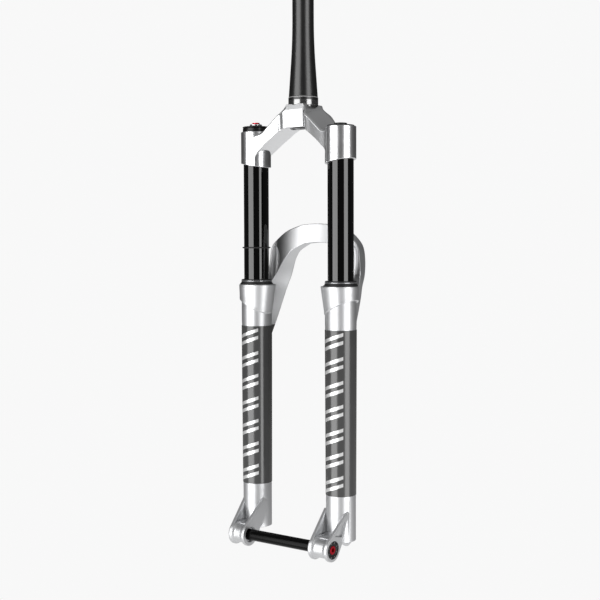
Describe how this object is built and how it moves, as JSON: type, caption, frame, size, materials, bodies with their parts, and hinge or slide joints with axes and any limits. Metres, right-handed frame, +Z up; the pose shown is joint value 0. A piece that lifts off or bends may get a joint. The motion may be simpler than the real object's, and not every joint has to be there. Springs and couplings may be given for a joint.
{
  "type": "suspension fork",
  "caption": "Mountain bike suspension fork with a tapered steerer, two black stanchions and a silver one-piece lower casting with a rear arch.",
  "frame": {"origin": "on the steerer axis at the shoulder that carries the crown race of the headset", "axes": "+Z up along the steerer, -Y in the direction of travel, +X to the rider's left, the brake side"},
  "size_m": [0.188, 0.1135, 0.8485],
  "materials": {
    "steerer_black": "satin black anodised",
    "crown_silver": "bright machined silver",
    "stanchion_black": "gloss black anodised",
    "cap_black": "satin black anodised",
    "casting_silver": "bright silver paint on a magnesium casting",
    "panel_dark": "semi-gloss dark grey film",
    "rubber_black": "matt black rubber",
    "foam_grey": "open-cell oiled foam",
    "red_anodised": "red anodised",
    "steel_bright": "bright steel",
    "alloy_plain": "turned alloy",
    "brass_valve": "brass",
    "axle_black": "gloss black anodised",
    "plastic_pale": "pale acetal",
    "bushing_bronze": "lined bronze"
  },
  "bodies": {
    "upper_assembly": {"steerer_tube": "steerer_black", "fork_crown": "crown_silver", "damper_stanchion": "stanchion_black", "air_stanchion": "stanchion_black", "damper_top_cap": "cap_black", "damper_cap_seal": "rubber_black", "compression_rod": "alloy_plain", "compression_piston": "alloy_plain", "air_top_cap": "cap_black", "air_cap_seal": "rubber_black", "valve_stem": "brass_valve", "volume_spacer_upper": "plastic_pale", "volume_spacer_lower": "plastic_pale", "damper_seal_head": "alloy_plain", "damper_circlip": "steel_bright", "air_seal_head": "alloy_plain", "air_circlip": "steel_bright"},
    "compression_dial": {"compression_dial": "cap_black"},
    "low_speed_knob": {"low_speed_knob": "red_anodised"},
    "valve_cap": {"valve_cap": "cap_black"},
    "valve_pin": {"valve_pin": "steel_bright"},
    "travel_ring": {"travel_ring": "rubber_black"},
    "lowers": {"lower_casting": "casting_silver", "damper_wiper": "rubber_black", "damper_wiper_spring": "steel_bright", "damper_foam_ring": "foam_grey", "damper_upper_bushing": "bushing_bronze", "damper_lower_bushing": "bushing_bronze", "damper_leg_panel": "panel_dark", "damper_crush_washer": "alloy_plain", "air_wiper": "rubber_black", "air_wiper_spring": "steel_bright", "air_foam_ring": "foam_grey", "air_upper_bushing": "bushing_bronze", "air_lower_bushing": "bushing_bronze", "air_leg_panel": "panel_dark", "air_crush_washer": "alloy_plain", "damper_shaft": "alloy_plain", "rebound_piston": "alloy_plain", "rebound_glide_ring": "plastic_pale", "damper_foot_nut": "alloy_plain", "air_shaft": "alloy_plain", "air_piston": "plastic_pale", "air_piston_seal": "rubber_black", "top_out_bumper": "rubber_black", "bottom_out_bumper": "rubber_black", "air_foot_bolt": "alloy_plain", "axle_insert": "alloy_plain"},
    "rebound_knob": {"rebound_knob": "red_anodised"},
    "axle": {"thru_axle": "axle_black", "axle_head": "cap_black"},
    "axle_bolt": {"axle_bolt": "red_anodised"}
  },
  "joints": [
    {"name": "travel", "type": "slide", "parent": "upper_assembly", "child": "lowers", "axis": [0, 0, 1], "range_m": [0, 0.14], "stiffness_N_per_m": 4500, "springref_m": -0.02},
    {"name": "travel_ring_slide", "type": "slide", "parent": "upper_assembly", "child": "travel_ring", "axis": [0, 0, 1], "range_m": [0, 0.1]},
    {"name": "compression_turn", "type": "hinge", "parent": "upper_assembly", "child": "compression_dial", "pos_m": [-0.07, -0.014, -0.0255], "axis": [0, 0, -1], "range_deg": [0, 270]},
    {"name": "low_speed_turn", "type": "hinge", "parent": "upper_assembly", "child": "low_speed_knob", "pos_m": [-0.07, -0.014, -0.022], "axis": [0, 0, -1], "range_deg": [0, 330]},
    {"name": "valve_cap_lift", "type": "slide", "parent": "upper_assembly", "child": "valve_cap", "axis": [0, 0, 1], "range_m": [0, 0.012]},
    {"name": "valve_pin_press", "type": "slide", "parent": "upper_assembly", "child": "valve_pin", "axis": [0, 0, -1], "range_m": [0, 0.0012], "stiffness_N_per_m": 500, "springref_m": -0.001},
    {"name": "rebound_turn", "type": "hinge", "parent": "lowers", "child": "rebound_knob", "pos_m": [-0.07, -0.014, -0.57], "axis": [0, 0, -1], "range_deg": [0, 330]},
    {"name": "axle_pull", "type": "slide", "parent": "lowers", "child": "axle", "axis": [1, 0, 0], "range_m": [0, 0.165]},
    {"name": "axle_bolt_turn", "type": "hinge", "parent": "axle", "child": "axle_bolt", "pos_m": [0.0815, -0.05065, -0.5775], "axis": [1, 0, 0], "range_deg": [0, 180]}
  ],
  "couplings": [
    {"joint": "travel_ring_slide", "follows": "travel", "ratio": 0.7}
  ]
}
